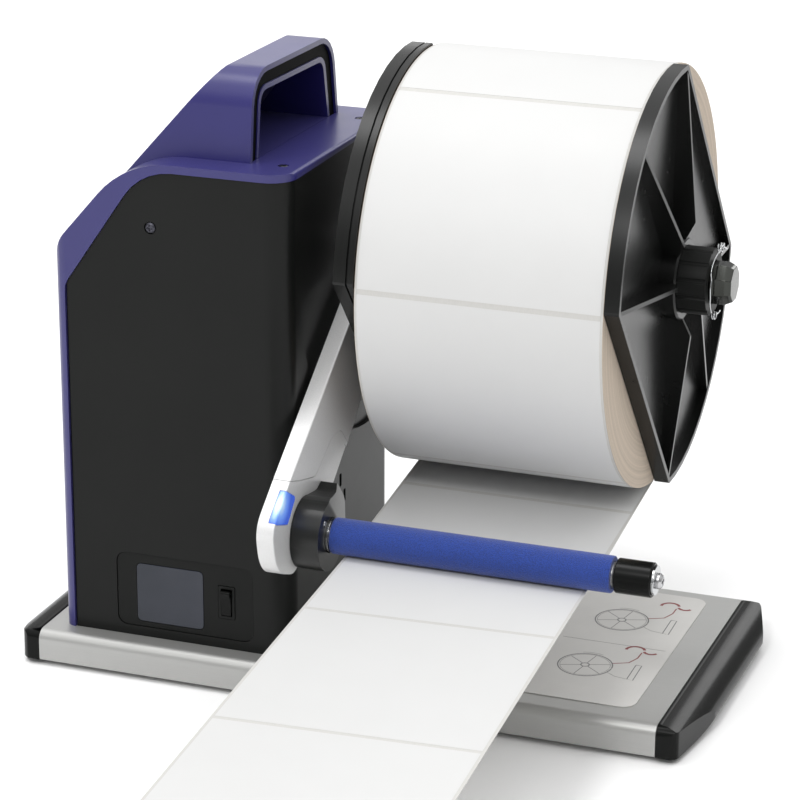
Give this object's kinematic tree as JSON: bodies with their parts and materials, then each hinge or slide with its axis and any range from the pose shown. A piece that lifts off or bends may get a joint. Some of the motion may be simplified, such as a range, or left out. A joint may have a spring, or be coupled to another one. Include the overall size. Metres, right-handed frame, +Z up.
{
  "type": "manual label rewinder",
  "caption": "Bench rewinder for label stock: a driven spindle with a flanged roll, a sprung dancer arm with a foam roller, and a housing with a grip on an aluminium base.",
  "frame": {"origin": "centre of the underside of the aluminium base, 3 mm above the bench that the feet stand on", "axes": "+X along the spindle towards its free end, +Y to the rear, away from the label web, +Z up"},
  "size_m": [0.41, 0.7572, 0.3527],
  "materials": {
    "aluminium": "satin",
    "black_plastic": "satin",
    "purple_plastic": "satin",
    "rubber": "matte",
    "plate_film": "matte",
    "steel": "satin",
    "chrome": "polished",
    "smoked_plastic": "gloss",
    "board": "satin",
    "silver_plastic": "satin",
    "lens": "gloss",
    "label_paper": "matte",
    "core_board": "matte",
    "foam": "matte"
  },
  "bodies": {
    "stand": {"base_plate": "aluminium", "right_end_cap": "black_plastic", "left_end_cap": "black_plastic", "housing_shell": "black_plastic", "grip_core": "black_plastic", "control_panel": "black_plastic", "direction_switch_body": "black_plastic", "power_switch_body": "black_plastic", "power_inlet": "black_plastic", "spindle_boss": "black_plastic", "top_cover": "purple_plastic", "grip_liner": "purple_plastic", "foot_front_left": "rubber", "foot_front_right": "rubber", "foot_rear_left": "rubber", "foot_rear_right": "rubber", "guide_plate": "plate_film", "cover_screw_front": "steel", "cover_screw_rear": "steel", "housing_screw": "steel", "gear_frame": "steel", "front_bearing": "steel", "rear_bearing": "steel", "motor_bracket": "steel", "drive_motor": "steel", "board_bracket": "steel", "arm_spring": "steel", "smoked_window": "smoked_plastic", "control_board": "board", "label_web_upper": "label_paper", "label_web_lower": "label_paper"},
    "arm": {"arm_body": "silver_plastic", "arm_end_cap": "silver_plastic", "arm_light_lens": "lens", "roller_mount": "black_plastic", "mount_screw_upper": "chrome", "mount_screw_lower": "chrome", "mount_ring": "chrome", "roller_axle": "steel", "roller_collar": "black_plastic", "axle_washer": "chrome", "axle_screw": "steel"},
    "roller": {"roller_tube": "aluminium", "foam_sleeve": "foam"},
    "reel": {"spindle_shaft": "chrome", "core_sleeve": "black_plastic", "inner_flange": "black_plastic", "paper_core": "core_board", "label_roll": "label_paper", "sleeve_clip": "chrome", "spindle_gear": "steel"},
    "keeper": {"outer_flange": "black_plastic"},
    "pinion": {"motor_pinion": "steel"},
    "direction_key": {"direction_rocker": "black_plastic"},
    "power_key": {"power_rocker": "black_plastic"}
  },
  "joints": [
    {"name": "reel_spin", "type": "hinge", "parent": "stand", "child": "reel", "pos_m": [0, 0.0473, 0.2271], "axis": [1, 0, 0], "continuous": true},
    {"name": "keeper_slide", "type": "slide", "parent": "reel", "child": "keeper", "axis": [1, 0, 0], "range_m": [0, 0.015]},
    {"name": "pinion_spin", "type": "hinge", "parent": "stand", "child": "pinion", "pos_m": [-0.096, 0.01866, 0.19846], "axis": [1, 0, 0], "continuous": true},
    {"name": "arm_swing", "type": "hinge", "parent": "stand", "child": "arm", "pos_m": [0, 0.0473, 0.2271], "axis": [1, 0, 0], "range_deg": [-35, 20], "stiffness_Nm_per_rad": 0.8, "springref_deg": -28.65, "deforming": ["arm_spring", "label_web_upper", "label_web_lower"]},
    {"name": "roller_spin", "type": "hinge", "parent": "arm", "child": "roller", "pos_m": [0.077, -0.09105, 0.10099], "axis": [1, 0, 0], "continuous": true},
    {"name": "direction_rock", "type": "hinge", "parent": "stand", "child": "direction_key", "pos_m": [-0.0728, -0.0818, 0.0465], "axis": [1, 0, 0], "range_deg": [-20, 0]},
    {"name": "power_rock", "type": "hinge", "parent": "stand", "child": "power_key", "pos_m": [-0.062, 0.0852, 0.044], "axis": [1, 0, 0], "range_deg": [-20, 0]}
  ],
  "couplings": [
    {"joint": "pinion_spin", "follows": "reel_spin", "ratio": -2.8571}
  ]
}
